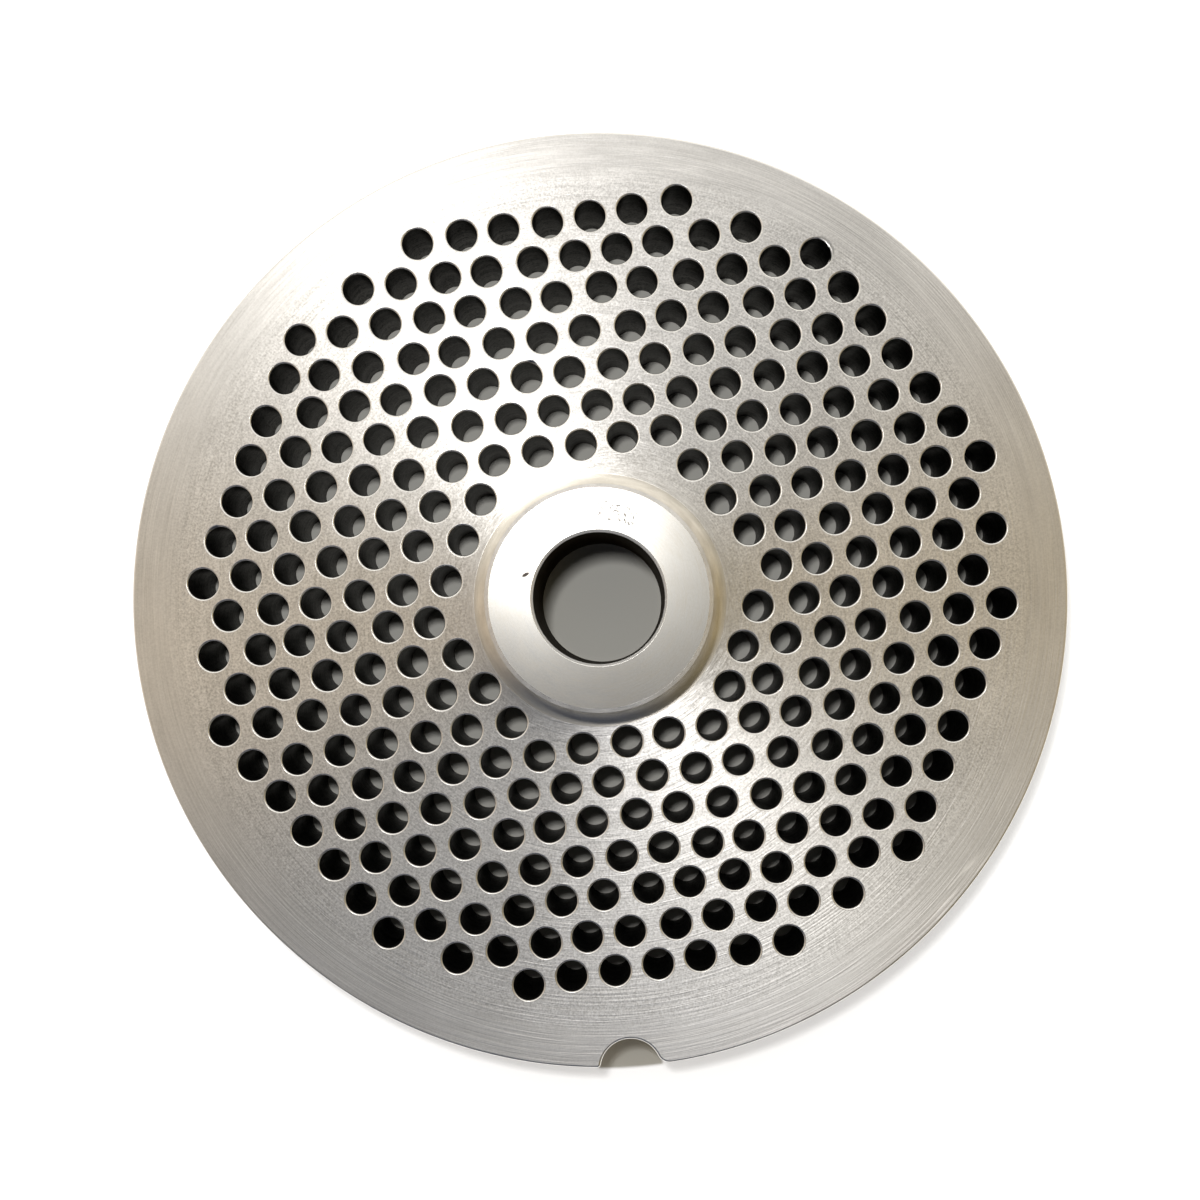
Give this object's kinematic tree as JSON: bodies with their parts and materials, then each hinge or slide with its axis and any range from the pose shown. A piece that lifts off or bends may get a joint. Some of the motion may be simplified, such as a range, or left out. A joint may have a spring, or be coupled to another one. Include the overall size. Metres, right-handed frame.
{
  "type": "meat grinder plate",
  "caption": "Round steel mincing plate: a thick disc drilled with a hexagonal field of small through holes, with a raised centre hub, a through bore and a half-round notch in the rim.",
  "frame": {"origin": "centre of the bore on the flat knife face, which the plate rests on; the rim notch puts it 0.06 mm from the centre of the bottom of the bounding box", "axes": "+Z along the bore axis, from the knife face towards the hub; -Y through the middle of the rim notch; +X completes the right-handed frame"},
  "size_m": [0.0984, 0.0983, 0.0165],
  "materials": {
    "ground_steel": "ground and turned bare steel, lightly worn"
  },
  "bodies": {
    "root": {"grinder_plate": "ground_steel"}
  },
  "joints": []
}
